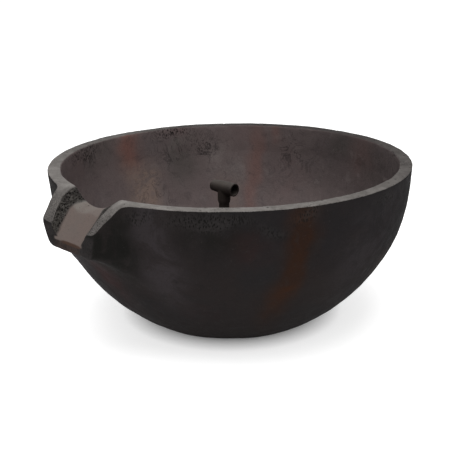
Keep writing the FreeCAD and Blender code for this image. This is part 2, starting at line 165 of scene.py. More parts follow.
class Turned:
    """Signed distance to a turned solid, from its half outline (radius, height)
    in millimetres, kept as a table."""

    def __init__(self, outline, r_max, z_low, z_high, pitch=1.5):
        rs = np.arange(0, r_max + pitch, pitch)
        zs = np.arange(z_low, z_high + pitch, pitch)
        gr, gz = np.meshgrid(rs, zs, indexing="ij")
        best = np.full(gr.shape, 1e9)
        inside = np.zeros(gr.shape, bool)
        n = len(outline)
        for i in range(n):
            (ax, ay), (bx, by) = outline[i], outline[(i + 1) % n]
            ex, ey = bx - ax, by - ay
            if not (abs(ax) < 1e-9 and abs(bx) < 1e-9):      # the axis isn't a wall
                t = np.clip(((gr - ax) * ex + (gz - ay) * ey) / max(ex * ex + ey * ey, 1e-12), 0, 1)
                best = np.minimum(best, np.hypot(gr - ax - t * ex, gz - ay - t * ey))
            crosses = ((ay > gz) != (by > gz))
            with np.errstate(divide="ignore", invalid="ignore"):
                at = ax + (gz - ay) * ex / (ey if ey != 0 else 1e-12)
            inside ^= crosses & (gr < at)
        self.table = np.where(inside, -best, best)
        self.z_low, self.pitch = z_low, pitch

    def __call__(self, r, z):
        a = np.clip(r / self.pitch, 0, self.table.shape[0] - 1.001)
        b = np.clip((z - self.z_low) / self.pitch, 0, self.table.shape[1] - 1.001)
        i, j = a.astype(np.int64), b.astype(np.int64)
        u, v = a - i, b - j
        T = self.table
        return ((1 - u) * (1 - v) * T[i, j] + u * (1 - v) * T[i + 1, j]
                + (1 - u) * v * T[i, j + 1] + u * v * T[i + 1, j + 1])


def surface_nets(func, low, high, pitch, chunk=48):
    """Quad mesh of func = 0, from a regular grid.  func takes an (n, 3) array
    and is negative inside."""
    axes = [np.arange(low[k] - pitch, high[k] + 2 * pitch, pitch) for k in range(3)]
    nx, ny, nz = (len(a) for a in axes)
    vals = np.empty((nx, ny, nz), np.float32)
    gy, gz = np.meshgrid(axes[1], axes[2], indexing="ij")
    for s in range(0, nx, chunk):
        e = min(nx, s + chunk)
        px = np.repeat(axes[0][s:e], ny * nz)
        pts = np.stack([px, np.tile(gy.ravel(), e - s), np.tile(gz.ravel(), e - s)], axis=1)
        vals[s:e] = func(pts).reshape(e - s, ny, nz)
    neg = vals < 0
    count = np.zeros((nx - 1, ny - 1, nz - 1), np.int8)
    for a in (0, 1):
        for b in (0, 1):
            for c in (0, 1):
                count += neg[a:nx - 1 + a, b:ny - 1 + b, c:nz - 1 + c]
    active = (count > 0) & (count < 8)
    ci, cj, ck = np.nonzero(active)
    index = np.full(active.shape, -1, np.int64)
    index[ci, cj, ck] = np.arange(len(ci))
    corner = {(a, b, c): vals[ci + a, cj + b, ck + c] for a in (0, 1) for b in (0, 1) for c in (0, 1)}
    total = np.zeros((len(ci), 3))
    hits = np.zeros(len(ci))
    for axis in range(3):
        others = [k for k in range(3) if k != axis]
        for s in (0, 1):
            for t in (0, 1):
                a = [0, 0, 0]
                a[others[0]], a[others[1]] = s, t
                b = list(a)
                b[axis] = 1
                va, vb = corner[tuple(a)], corner[tuple(b)]
                cross = (va < 0) != (vb < 0)
                frac = np.where(cross, va / np.where(cross, va - vb, 1), 0)
                pos = np.tile(np.array(a, float), (len(ci), 1))
                pos[:, axis] = frac
                total += pos * cross[:, None]
                hits += cross
    cell = np.stack([ci, cj, ck], axis=1)
    start = np.array([axes[0][0], axes[1][0], axes[2][0]])
    verts = start + (cell + total / hits[:, None]) * pitch
    faces = []
    for axis in range(3):
        sl_a = [slice(1, -1)] * 3
        sl_a[axis] = slice(0, -1)
        sl_b = list(sl_a)
        sl_b[axis] = slice(1, None)
        na, nb = neg[tuple(sl_a)], neg[tuple(sl_b)]
        i, j, k = np.nonzero(na != nb)
        flip = na[i, j, k]
        p = np.stack([i, j, k], axis=1) + 1
        p[:, axis] -= 1
        u, v = [x for x in range(3) if x != axis]
        if axis == 1:
            u, v = v, u
        ring = []
        for du, dv in ((1, 1), (0, 1), (0, 0), (1, 0)):
            q = p.copy()
            q[:, u] -= du
            q[:, v] -= dv
            ring.append(index[q[:, 0], q[:, 1], q[:, 2]])
        quad = np.stack(ring, axis=1)
        quad[~flip] = quad[~flip][:, ::-1]
        faces.append(quad)
    return verts, np.concatenate(faces)


def gradient(func, p, h):
    g = np.empty_like(p)
    for k in range(3):
        d = np.zeros(3)
        d[k] = h
        g[:, k] = func(p + d) - func(p - d)
    g /= 2 * h
    return g


def settle(func, p, h, times=2):
    """Moves points onto func = 0 and gives their outward normals."""
    for _ in range(times):
        g = gradient(func, p, h)
        n2 = np.maximum((g * g).sum(1), 1e-6)
        move = np.clip(func(p) / n2, -3 * h, 3 * h)
        p = p - g * move[:, None]
    g = gradient(func, p, h)
    return p, g / np.maximum(np.linalg.norm(g, axis=1, keepdims=True), 1e-9)


def mesh_object(name, verts, faces, smooth=True):
    mesh = bpy.data.meshes.new(name)
    mesh.vertices.add(len(verts))
    mesh.vertices.foreach_set("co", np.asarray(verts, np.float32).ravel())
    faces = [np.asarray(f) for f in faces]
    quads = np.array([f for f in faces]) if len({len(f) for f in faces}) == 1 else None
    if quads is not None:
        n, w = quads.shape
        mesh.loops.add(n * w)
        mesh.loops.foreach_set("vertex_index", quads.ravel().astype(np.int32))
        mesh.polygons.add(n)
        mesh.polygons.foreach_set("loop_start", (np.arange(n) * w).astype(np.int32))
        mesh.polygons.foreach_set("loop_total", np.full(n, w, np.int32))
        mesh.polygons.foreach_set("use_smooth", np.full(n, smooth, bool))
        mesh.update(calc_edges=True)
        mesh.validate()
    else:
        bpy.data.meshes.remove(mesh)
        mesh = bpy.data.meshes.new(name)
        mesh.from_pydata([tuple(v) for v in verts], [], [tuple(f) for f in faces])
        mesh.polygons.foreach_set("use_smooth", np.full(len(mesh.polygons), smooth, bool))
    made = bpy.data.objects.new(name, mesh)
    scene.collection.objects.link(made)
    return made


def put_attribute(mesh, name, values):
    att = mesh.attributes.new(name, "FLOAT", "POINT")
    att.data.foreach_set("value", np.asarray(values, np.float32))


# ------------------------------------------------------------ the cast bowl
outer_line = [(0, 0), (201.89, 0)]
outer_line += arc_points((201.89, 0), (240.40, 10.97), 73.1, -1)
outer_line += arc_points((240.40, 10.97), (408.93, 191.51), 471.6, -1, 60)
outer_line += arc_points((408.93, 191.51), (448.52, 318.69), 363.4, -1, 40)
outer_line += [(456.4, 398), (462.6, 460), (0, 460)]
inner_line = [(0, 95), (278.24, 95)]
inner_line += arc_points((278.24, 95), (322.90, 114.93), 60.0, -1)
inner_line += arc_points((322.90, 114.93), (385.06, 204.12), 444.6, -1, 40)
inner_line += arc_points((385.06, 204.12), (421.7, 321.85), 336.4, -1, 40)
inner_line += [(424.4, 398), (426.6, 460), (0, 460)]
recess_line = [(0, -30), (171, -30), (168, 0), (160, 62), (0, 62)]
outer_form = Turned(outer_line, 560, -20, 440)
inner_form = Turned(inner_line, 560, -20, 440)
recess_form = Turned(recess_line, 560, -30, 440)

# Lengths along the spout (u, from the bowl's axis), in millimetres
cheek_u = np.array([400, 426, 432, 438, 443, 450, 457, 463, 469, 478, 485, 492, 498, 507, 520.0])
cheek_inner = np.array([0, -0.5, -2.0, -4.0, -6.8, -10.5, -15.0, -20.5, -26.5, -34.3, -41.5, -49.5, -56.5, -66, -80])
ridge_u = np.array([400, 430, 436, 443, 450, 457, 464, 472, 480, 488, 494, 501, 507, 520.0])
ridge_outer = np.array([0, 0, -1.0, -3.5, -7.7, -13.6, -20.7, -27.8, -34.8, -42.8, -49.2, -56, -63, -77])
floor_u = np.array([300, 400, 420, 440, 450, 459, 469, 482, 494.5, 507, 520.0])
floor_z = np.array([371, 369, 367.0, 364.5, 361, 354, 343.2, 329.5, 316.5, 303.5, 290.0])
lean_u = np.array([300, 400, 413, 436, 450, 464, 480, 507, 520.0])
lean_v = np.array([1.8, 1.8, 1.70, 1.70, 1.37, 1.05, 0.84, 0.54, 0.50])
half_u = np.array([300, 420, 436, 448, 457, 470, 480, 492, 507, 520.0])
half_v = np.array([29, 30, 34, 43, 48.5, 48, 46.5, 46.5, 46.5, 46.0])
side_u = np.array([380, 420, 436, 443, 450, 458, 464, 472, 480, 488, 494, 501, 508, 520.0])
side_v = np.array([140, 122, 113.5, 107.2, 104.4, 103.4, 102.4, 101.0, 98.8, 97.2, 96.2, 95.0, 93.8, 91])


def bend(x, xs, ys):
    """Interpolation with rounded corners: the mean of three shifted readings."""
    w = 3.5
    return (np.interp(x - w, xs, ys) + 2 * np.interp(x, xs, ys) + np.interp(x + w, xs, ys)) / 4


def bowl_form(p):
    x, y, z = p[:, 0] * 1000, (p[:, 1] - AXIS_Y) * 1000, p[:, 2] * 1000
    r = np.hypot(x, y)
    u = -y
    ax = np.sqrt(x * x + 4.0)
    body = outer_form(r, z)
    near = (u > 330) & (ax < 230) & (z > 120)
    top = z - 398.0
    cavity = inner_form(r, z)
    result = smax(smax(body, top, 4.0), -cavity, 4.0)
    if near.any():
        un, an, zn = u[near], ax[near], z[near]
        wob = noise(p[near], 0.045, 5) * 1.3
        w_side = bend(un, side_u, side_v) - 0.235 * (340.0 - zn) + wob
        w_side = w_side + 4.5 * step(un, 430, 470) * step(-x[near], 0, 40) * step(zn, 285, 338)
        side = (an - w_side) * 0.80
        front = un - 507.0
        under = (278.6 - 0.30 * (507.0 - un)) - zn
        block = smax(smax(side, under, 16.0), front + noise(p[near], 0.014, 17) * 0.9 - 0.4, 10.0)
        fillet = 12 + 30 * step(-zn, -392, -330) + 26 * step(-zn, -315, -275)
        both = smin(body[near], block, fillet)
        both = np.maximum(both, front)
        inner_w = bend(un, half_u, half_v) + bend(un, lean_u, lean_v) * np.maximum(
            398.0 + bend(un, cheek_u, cheek_inner) - bend(un, floor_u, floor_z), 2)
        outer_w = np.maximum(bend(un, side_u, side_v), inner_w + 10)
        s = step(an, inner_w, outer_w)
        level = 398.0 + bend(un, cheek_u, cheek_inner) * (1 - s) + bend(un, ridge_u, ridge_outer) * s
        level = level + noise(p[near], 0.03, 9) * 1.1 * step(un, 430, 470)
        topn = (zn - level) * 0.78
        made = smax(both, topn, 6.0)
        made = smax(made, -cavity[near], 5.0)
        fz = bend(un, floor_u, floor_z)
        shift = 2.6 * step(un, 468, 500)
        ac = np.sqrt((x[near] - shift) ** 2 + 4.0)
        rough_lip = noise(p[near], 0.012, 15) * 1.3 * step(un, 492, 506)
        sag = 3.4 * step(un, 494, 507) * np.exp(-((x[near] - 4) / 30.0) ** 2) + rough_lip
        lift = 6.0 * step(-x[near], 18, 50) * step(un, 482, 506)
        floor = (fz - sag + lift - zn) * 0.80
        w_in = bend(un, half_u, half_v) + bend(un, lean_u, lean_v) * (zn - fz)
        wall = (ac - w_in) / np.sqrt(1 + bend(un, lean_u, lean_v) ** 2)
        channel = smax(smax(floor, wall, 13.0), 330.0 - un, 1.0)
        made = smax(made, -channel, 4.5)
        result[near] = made
    result = smax(result, -recess_form(r, z), 3.0)
    hole = np.hypot(x, y + AXIS_Y * 1000) - 20.6
    result = smax(result, -hole, 1.0)
    result = smax(result, -z, 3.0)
    return result * MM


low = np.array([-0.457, AXIS_Y - 0.507, 0.0])
high = np.array([0.457, AXIS_Y + 0.457, 0.398])
PITCH = 0.0045
verts, quads = surface_nets(bowl_form, low, high, PITCH)
verts, _ = settle(bowl_form, verts, 0.0012, 2)
bowl = mesh_object("bowl_cast", verts, quads)


def refine(obj, chooser):
    """Halves the edges of the chosen faces."""
    import bmesh
    bm = bmesh.new()
    bm.from_mesh(obj.data)
    bm.verts.ensure_lookup_table()
    co = np.array([v.co for v in bm.verts])
    pick = chooser(co)
    edges = [e for e in bm.edges if pick[e.verts[0].index] and pick[e.verts[1].index]]
    bmesh.ops.subdivide_edges(bm, edges=edges, cuts=1, use_grid_fill=True)
    bmesh.ops.triangulate(bm, faces=[f for f in bm.faces if len(f.verts) > 4])
    bm.to_mesh(obj.data)
    bm.free()


def spout_zone(co, grow=0.0):
    u = -(co[:, 1] - AXIS_Y)
    return (u > 0.395 - grow) & (np.abs(co[:, 0]) < 0.145 + grow) & (co[:, 2] > 0.262 - grow)


def rim_zone(co):
    r = np.hypot(co[:, 0], co[:, 1] - AXIS_Y)
    return (co[:, 2] > 0.386) & (r > 0.40)


refine(bowl, lambda co: spout_zone(co, 0.012) | rim_zone(co))
refine(bowl, spout_zone)

co = np.empty(len(bowl.data.vertices) * 3, np.float32)
bowl.data.vertices.foreach_get("co", co)
co = co.reshape(-1, 3).astype(float)
co, normal = settle(bowl_form, co, 0.0008, 2)

# What each point of the casting is: how far it is on the rim, inside, in the
# channel, and so on.  The material reads these as named attributes.
X, Y, Z = co[:, 0], co[:, 1] - AXIS_Y, co[:, 2]
RR = np.hypot(X, Y)
U = -Y
inside_d = inner_form(RR * 1000, Z * 1000) * MM
outside_d = -outer_form(RR * 1000, Z * 1000) * MM
up = np.clip(normal[:, 2], -1, 1)
radial = (normal[:, 0] * X + normal[:, 1] * Y) / np.maximum(RR, 1e-6)
in_spout = step(U, 0.405, 0.43) * step(-np.abs(X), -0.175, -0.15) * step(Z, 0.255, 0.275)
is_rim = step(up, 0.45, 0.85) * step(Z, 0.33, 0.385) * (1 - step(inside_d, -0.006, -0.002) * 0)
is_inside = step(-radial, -0.15, 0.15) * step(-inside_d, -0.006, -0.001)
fz_here = bend(U * 1000, floor_u, floor_z) * MM
w_here = bend(U * 1000, half_u, half_v) * MM
on_floor = in_spout * step(-(np.abs(X) - w_here), -0.010, 0.0) * step(-(Z - fz_here), -0.010, -0.004) * step(up, 0.2, 0.5)
sill = step(U, 0.40, 0.415) * step(-(np.abs(X) - w_here), -0.010, 0.0) * step(-np.abs(Z - fz_here), -0.006, -0.002)
on_floor = np.clip(np.maximum(on_floor, sill), 0, 1)
toward = -np.sign(X) * normal[:, 0]
at_mouth = step(U, 0.392, 0.408) * step(-np.abs(X), -0.120, -0.100) * step(Z, 0.345, 0.365)
on_cheek = np.maximum(in_spout, at_mouth * step(-normal[:, 1], -0.80, -0.60)) * step(toward, 0.22, 0.42) * (1 - on_floor)
ridge = in_spout * step(up, 0.35, 0.65) * (1 - on_floor) * (1 - on_cheek)
lip = (in_spout * step(-np.abs(Z - 0.2995), -0.006, -0.001) * step(U, 0.500, 0.505) * step(X, -0.045, -0.005)
       * step(-X, -0.052, -0.040))
face = in_spout * step(-normal[:, 1], 0.45, 0.8) * step(U, 0.490, 0.500) * step(-Z, -0.338, -0.322) * (1 - on_floor) * (1 - on_cheek)
face_warm = step(-np.abs(X + 0.005), -0.055, -0.030) * step(-np.abs(Z - 0.290), -0.016, -0.006)

# Surface relief: slow unevenness, fine grain, then pits where the casting has them
relief = noise(co, 0.11, 1) * 0.0010 + noise(co, 0.035, 2) * 0.0006 + noise(co, 0.014, 3) * 0.0003
edge_wear = np.clip(step(Z, 0.388, 0.397) * (1 - step(up, 0.90, 0.99)), 0, 1)
relief -= edge_wear * np.maximum(0, noise(co, 0.028, 4) + 0.10) * 0.0011
cheek_pits = pits(co * np.array([1, 1, 0.55]), 0.0054, 11, 0.84, 0.48)
fine_pits = pits(co, 0.0048, 21, 0.7, 0.46)
pitted = np.clip(on_cheek * 1.0 + ridge * 0.16 * step(noise(co, 0.03, 7), -0.2, 0.4) + 0.0, 0, 1)
relief -= pitted * (cheek_pits * 0.0030 + fine_pits * 0.0011)
rim_pits = pits(co, 0.013, 31, 0.30, 0.30) * step(up, 0.5, 0.9) * step(Z, 0.30, 0.39)
relief -= rim_pits * 0.0011
co = co + normal * relief[:, None]
co[:, 0] = np.clip(co[:, 0], -0.4568, 0.4568)
co[:, 1] = np.clip(co[:, 1], cad_low[1] + 0.0001, cad_high[1] - 0.0002)
co[:, 2] = np.clip(co[:, 2], 0.0, 0.39795)
bowl.data.vertices.foreach_set("co", co.astype(np.float32).ravel())
bowl.data.polygons.foreach_set("use_smooth", np.ones(len(bowl.data.polygons), bool))
bowl.data.update()

for name, values in (("a_rim", np.clip(np.maximum(is_rim, ridge), 0, 1)), ("a_in", is_inside),
                     ("a_floor", on_floor), ("a_cheek", on_cheek), ("a_ridge", ridge),
                     ("a_pit", np.clip(pitted * np.maximum(cheek_pits, fine_pits * 0.7) + rim_pits * 0.7, 0, 1)),
                     ("a_lip", lip), ("a_face", face), ("a_warm", face_warm),
                     ("a_low", step(U + 0.0022 * np.sin(X * 90), 0.4515, 0.4575)), ("a_grit", np.clip(ridge * step(U, 0.435, 0.485), 0, 1))):
    put_attribute(bowl.data, name, values)


# ---------------------------------------------------------------- materials
class Nodes:
    """Short names for building one material's node tree."""

    def __init__(self, name):
        self.mat = bpy.data.materials.new(name)
        self.mat.use_nodes = True
        self.tree = self.mat.node_tree
        self.tree.nodes.clear()
        self.out = self.tree.nodes.new("ShaderNodeOutputMaterial")
        self.shader = self.tree.nodes.new("ShaderNodeBsdfPrincipled")
        self.tree.links.new(self.shader.outputs[0], self.out.inputs[0])
        self.coord = self.tree.nodes.new("ShaderNodeTexCoord").outputs["Object"]

    def put(self, socket, value):
        if hasattr(value, "is_linked"):
            self.tree.links.new(value, socket)
        elif isinstance(value, (tuple, list)) and len(value) == 3 and socket.type == "RGBA":
            socket.default_value = (*value, 1.0)
        else:
            socket.default_value = value

    def mapped(self, scale=(1, 1, 1), location=(0, 0, 0), rotation=(0, 0, 0), source=None):
        n = self.tree.nodes.new("ShaderNodeMapping")
        self.put(n.inputs["Vector"], source or self.coord)
        n.inputs["Scale"].default_value = scale
        n.inputs["Location"].default_value = location
        n.inputs["Rotation"].default_value = rotation
        return n.outputs[0]

    def noise(self, scale, detail=4.0, rough=0.55, distortion=0.0, vector=None, lacunarity=2.0):
        n = self.tree.nodes.new("ShaderNodeTexNoise")
        self.put(n.inputs["Vector"], vector or self.coord)
        n.inputs["Scale"].default_value = scale
        n.inputs["Detail"].default_value = detail
        n.inputs["Roughness"].default_value = rough
        n.inputs["Lacunarity"].default_value = lacunarity
        n.inputs["Distortion"].default_value = distortion
        return n.outputs[0]

    def cells(self, scale, vector=None, feature="F1", randomness=1.0):
        n = self.tree.nodes.new("ShaderNodeTexVoronoi")
        n.feature = feature
        self.put(n.inputs["Vector"], vector or self.coord)
        n.inputs["Scale"].default_value = scale
        n.inputs["Randomness"].default_value = randomness
        return n.outputs["Distance"]

    def attribute(self, name):
        n = self.tree.nodes.new("ShaderNodeAttribute")
        n.attribute_name = name
        return n.outputs["Fac"]

    def ramp(self, value, low, high, to_low=0.0, to_high=1.0, kind="SMOOTHSTEP"):
        n = self.tree.nodes.new("ShaderNodeMapRange")
        n.interpolation_type = kind
        self.put(n.inputs["Value"], value)
        n.inputs["From Min"].default_value = low
        n.inputs["From Max"].default_value = high
        n.inputs["To Min"].default_value = to_low
        n.inputs["To Max"].default_value = to_high
        return n.outputs[0]

    def math(self, op, a, b=0.0, clamp=False):
        n = self.tree.nodes.new("ShaderNodeMath")
        n.operation = op
        n.use_clamp = clamp
        self.put(n.inputs[0], a)
        self.put(n.inputs[1], b)
        return n.outputs[0]

    def mix(self, factor, a, b, blend="MIX"):
        n = self.tree.nodes.new("ShaderNodeMix")
        n.data_type = "RGBA"
        n.blend_type = blend
        n.clamp_factor = True
        self.put(n.inputs["Factor"], factor)
        self.put(n.inputs[6], a)
        self.put(n.inputs[7], b)
        return n.outputs[2]

    def bump(self, height, strength, distance, normal=None):
        n = self.tree.nodes.new("ShaderNodeBump")
        n.inputs["Strength"].default_value = strength
        n.inputs["Distance"].default_value = distance
        self.put(n.inputs["Height"], height)
        if normal is not None:
            self.put(n.inputs["Normal"], normal)
        return n.outputs[0]

    def finish(self, color, rough, normal=None, specular=0.3):
        self.put(self.shader.inputs["Base Color"], color)
        self.put(self.shader.inputs["Roughness"], rough)
        self.shader.inputs["Specular IOR Level"].default_value = specular
        if normal is not None:
            self.put(self.shader.inputs["Normal"], normal)
        return self.mat


def srgb(r, g, b):
    def lin(c):
        c /= 255.0
        return c / 12.92 if c <= 0.04045 else ((c + 0.055) / 1.055) ** 2.4
    return (lin(r), lin(g), lin(b))


def concrete():
    m = Nodes("oxidised_concrete")
    cloud = m.noise(3.2, 5, 0.55, 0.4)
    cloud2 = m.noise(7.5, 5, 0.6, 0.6, m.mapped(location=(3.1, 1.7, 0.4)))
    streak = m.noise(9.0, 4, 0.55, 0.2, m.mapped(scale=(1, 1, 0.16)))
    streak2 = m.noise(26.0, 4, 0.6, 0.3, m.mapped(scale=(1, 1, 0.12), location=(1, 2, 3)))
    mottle = m.noise(36.0, 6, 0.65, 0.5)
    grain = m.noise(170.0, 4, 0.7, 0.0)
    speck = m.noise(420.0, 3, 0.6, 0.0)
    ragged = m.ramp(m.noise(15.0, 6, 0.66, 0.9), 0.38, 0.58, 0.35, 1.2)

    def amount(name, scale=1.0):
        return m.math("MULTIPLY", m.math("MULTIPLY", m.attribute(name), ragged), scale, True)

    # outside wall: charcoal with slate and brown clouds, rust running down it
    wall = m.mix(m.ramp(cloud, 0.38, 0.62), OUT_BASE, OUT_WARM)
    wall = m.mix(m.ramp(cloud2, 0.50, 0.68, 0, 0.45), wall, OUT_SLATE)
    wall = m.mix(amount("a_mauve"), wall, OUT_MAUVE)
    wall = m.mix(amount("a_green"), wall, OUT_GREEN)
    wall = m.mix(amount("a_red"), wall, OUT_RED)
    wall = m.mix(amount("a_tan", 0.6), wall, OUT_RED)
    rust = m.math("MULTIPLY", m.attribute("a_rust"), m.ramp(streak, 0.34, 0.58, 0.72, 1.15), True)
    wall = m.mix(rust, wall, m.mix(m.ramp(cloud2, 0.35, 0.65), OUT_RUST, OUT_RUST2))
    wall = m.mix(m.ramp(mottle, 0.50, 0.72, 0, 0.30), wall, OUT_LIGHT)
    wall = m.mix(m.ramp(streak2, 0.56, 0.76, 0, 0.25), wall, OUT_WARM)
    wall = m.mix(m.ramp(mottle, 0.30, 0.46, 0.35, 0.0), wall, OUT_DARK)

    # inside wall: warm grey with mauve, tan and rust patches and fine dark veins
    inner = m.mix(m.ramp(cloud, 0.36, 0.64), IN_BASE, IN_WARM)
    inner = m.mix(m.ramp(cloud2, 0.46, 0.68, 0, 0.5), inner, IN_GREY)
    inner = m.mix(amount("a_mauve"), inner, IN_CLOUD)
    inner = m.mix(amount("a_tan"), inner, IN_TAN)
    inner = m.mix(amount("a_red"), inner, IN_PINK)
    rust_in = m.math("MULTIPLY", m.attribute("a_rust"), m.ramp(streak, 0.30, 0.60, 0.5, 1.1), True)
    inner = m.mix(rust_in, inner, IN_RUST)
    inner = m.mix(amount("a_green"), inner, IN_GREEN)
    # painted shade on the inside wall, where the bowl's far side and hollows fall in shade
    inner = m.mix(m.math("MULTIPLY", m.attribute("a_painted_shade"), 0.62), inner, IN_DIM)
    inner = m.mix(m.ramp(mottle, 0.52, 0.72, 0, 0.30), inner, IN_CLOUD)
    inner = m.mix(m.ramp(mottle, 0.30, 0.45, 0.35, 0.0), inner, IN_DIM)
    line = m.math("ABSOLUTE", m.math("SUBTRACT", m.noise(17.0, 6, 0.66, 1.4, m.mapped(location=(7, 3, 5))), 0.5))
    vein = m.math("MULTIPLY", m.ramp(line, 0.006, 0.034, 1.0, 0.0), m.ramp(cloud2, 0.40, 0.54, 0.0, 1.0))
    veins = m.math("MULTIPLY", vein, m.math("ADD", m.attribute("a_vein"), 0.15), True)
    inner = m.mix(m.math("MULTIPLY", veins, 0.9), inner, IN_DARK)
    base = m.mix(m.attribute("a_in"), wall, inner)
    # painted shade on the outside wall: darker towards the bottom and on a stretch round bearing 116
    painted_shade_out = m.math("MULTIPLY", m.math("MULTIPLY", m.attribute("a_painted_shade"), m.math("SUBTRACT", 1.0, m.attribute("a_in"))), 0.5)
    base = m.mix(painted_shade_out, base, OUT_DARK)

    # worn, paler top of the rim and cheeks, with painted light: palest at the front, fading to painted shade round the
    # back
    worn_rim_painted_light = m.mix(m.ramp(mottle, 0.35, 0.70), RIM_LOW, RIM_HIGH)
    worn_rim_painted_light = m.mix(m.ramp(grain, 0.52, 0.72, 0, 0.45), worn_rim_painted_light, RIM_GRIT)
    rim_painted_shade = m.mix(m.ramp(mottle, 0.35, 0.70), RIM_PAINTED_SHADE, RIM_PAINTED_SHADE2)
    top = m.mix(m.math("ADD", m.attribute("a_rim_painted_light"), m.math("MULTIPLY", m.math("SUBTRACT", cloud2, 0.5), 0.5), True), rim_painted_shade, worn_rim_painted_light)
    edge = m.ramp(m.math("ADD", m.attribute("a_rim"), m.math("MULTIPLY", m.math("SUBTRACT", mottle, 0.5), 0.5)), 0.35, 0.75)
    base = m.mix(edge, base, top)

    # channel: pinkish stone; the cheeks' inner faces are dark and pitted
    floor = m.mix(m.ramp(cloud2, 0.40, 0.65), SPOUT_A, SPOUT_B)
    floor = m.mix(m.ramp(mottle, 0.52, 0.74, 0, 0.5), floor, SPOUT_C)
    floor = m.mix(m.math("MULTIPLY", m.attribute("a_low"), 0.85), floor, m.mix(m.ramp(mottle, 0.4, 0.7), SPOUT_LOW, SPOUT_C))
    dots = m.cells(1.0, m.mapped(scale=(330, 330, 190), location=(0.4, 0.2, 0.7)))
    stipple = m.ramp(m.math("ADD", dots, m.math("MULTIPLY", m.math("SUBTRACT", grain, 0.5), 0.9)), 0.34, 0.52, 1.0, 0.0)
    cheek = m.mix(m.ramp(m.noise(60.0, 5, 0.7), 0.42, 0.60), CHEEK_A, CHEEK_B)
    cheek = m.mix(m.math("MULTIPLY", stipple, 0.9), cheek, CHEEK_DARK)
    base = m.mix(m.attribute("a_cheek"), base, cheek)
    base = m.mix(m.attribute("a_floor"), base, floor)
    grit = m.math("MULTIPLY", m.math("MULTIPLY", m.attribute("a_grit"), m.ramp(cloud2, 0.40, 0.62, 0.35, 0.9)), stipple)
    face = m.mix(m.attribute("a_warm"), FACE, FACE_WARM)
    face = m.mix(m.ramp(mottle, 0.42, 0.68, 0.05, 0.5), face, OUT_DARK)
    face = m.mix(m.math("MULTIPLY", stipple, 0.4), face, OUT_DARK)
    base = m.mix(m.attribute("a_face"), base, face)
    base = m.mix(grit, base, CHEEK_DARK)
    base = m.mix(m.ramp(m.attribute("a_pit"), 0.12, 0.6, 0, 0.92), base, PIT)
    base = m.mix(m.ramp(m.attribute("a_lip"), 0.2, 0.9, 0, 0.9), base, LIP)

    # short dark runs just under the rim, then fine speckle everywhere
    bent = m.math("ADD", m.cells(1.0, m.mapped(scale=(290, 290, 120), location=(0.2, 0.5, 0.1))), m.math("MULTIPLY", m.math("SUBTRACT", mottle, 0.5), 0.55))
    runs = m.math("MULTIPLY", m.ramp(bent, 0.32, 0.45, 1.0, 0.0), m.math("MULTIPLY", m.attribute("a_drip"), 1.4, True))
    halo = m.math("MULTIPLY", m.math("MULTIPLY", m.attribute("a_drip"), m.math("SUBTRACT", 1.0, m.attribute("a_in"))), m.ramp(grain, 0.35, 0.65, 0.15, 0.75))
    base = m.mix(m.math("MULTIPLY", halo, m.math("SUBTRACT", 1.0, edge)), base, DRIP_HALO)
    base = m.mix(m.math("MULTIPLY", runs, 0.92), base, PIT)
    base = m.mix(m.ramp(speck, 0.56, 0.74, 0, 0.40), base, PIT)
    base = m.mix(m.ramp(grain, 0.28, 0.40, 0.14, 0.0), base, (0.075, 0.068, 0.064))

    rough = m.ramp(mottle, 0.3, 0.7, 0.74, 0.94)
    height = m.math("ADD", m.math("MULTIPLY", mottle, 0.7), m.math("MULTIPLY", grain, 0.45))
    height = m.math("ADD", height, m.math("MULTIPLY", speck, 0.12))
    small = m.cells(95.0, m.mapped(location=(0.3, 0.1, 0.2)))
    height = m.math("ADD", height, m.math("MULTIPLY", m.ramp(small, 0.10, 0.22, 0.0, 1.0), 0.25))
    height = m.math("SUBTRACT", height, m.math("MULTIPLY", runs, 0.8))
    normal = m.bump(height, 0.6, 0.0022)
    return m.finish(base, rough, normal, SPECULAR)


# Linear colours of the casting, by what they are
SPECULAR = 0.03
OUT_BASE = (0.0129, 0.0114, 0.0120)
OUT_WARM = (0.0153, 0.0123, 0.0120)
OUT_SLATE = (0.0120, 0.0123, 0.0132)
OUT_MAUVE = (0.0264, 0.0224, 0.0238)
OUT_GREEN = (0.0083, 0.0080, 0.0073)
OUT_RED = (0.0257, 0.0140, 0.0139)
OUT_RUST = (0.0265, 0.0108, 0.0052)
OUT_RUST2 = (0.0195, 0.0098, 0.0066)
OUT_LIGHT = (0.0228, 0.0201, 0.0198)
# OUT_DARK serves both dark mottle and the painted shade on the outside wall
OUT_DARK = (0.0072, 0.0066, 0.0067)
IN_BASE = (0.1066, 0.0845, 0.0832)
IN_WARM = (0.1209, 0.0962, 0.0936)
IN_GREY = (0.1118, 0.0962, 0.0962)
IN_CLOUD = (0.1534, 0.1300, 0.1248)
IN_TAN = (0.1638, 0.1209, 0.1040)
IN_PINK = (0.1365, 0.0936, 0.0910)
IN_RUST = (0.1625, 0.0832, 0.0702)
IN_GREEN = (0.0648, 0.0600, 0.0540)
# IN_DIM serves both dark mottle and the painted shade inside the bowl
IN_DIM = (0.0460, 0.0370, 0.0370)
IN_DARK = (0.0260, 0.0220, 0.0220)
# the rim's worn colours, which are also the lit end of its painted light
RIM_LOW = (0.1302, 0.1209, 0.1135)
RIM_HIGH = (0.1906, 0.1786, 0.1693)
RIM_GRIT = (0.070, 0.062, 0.058)
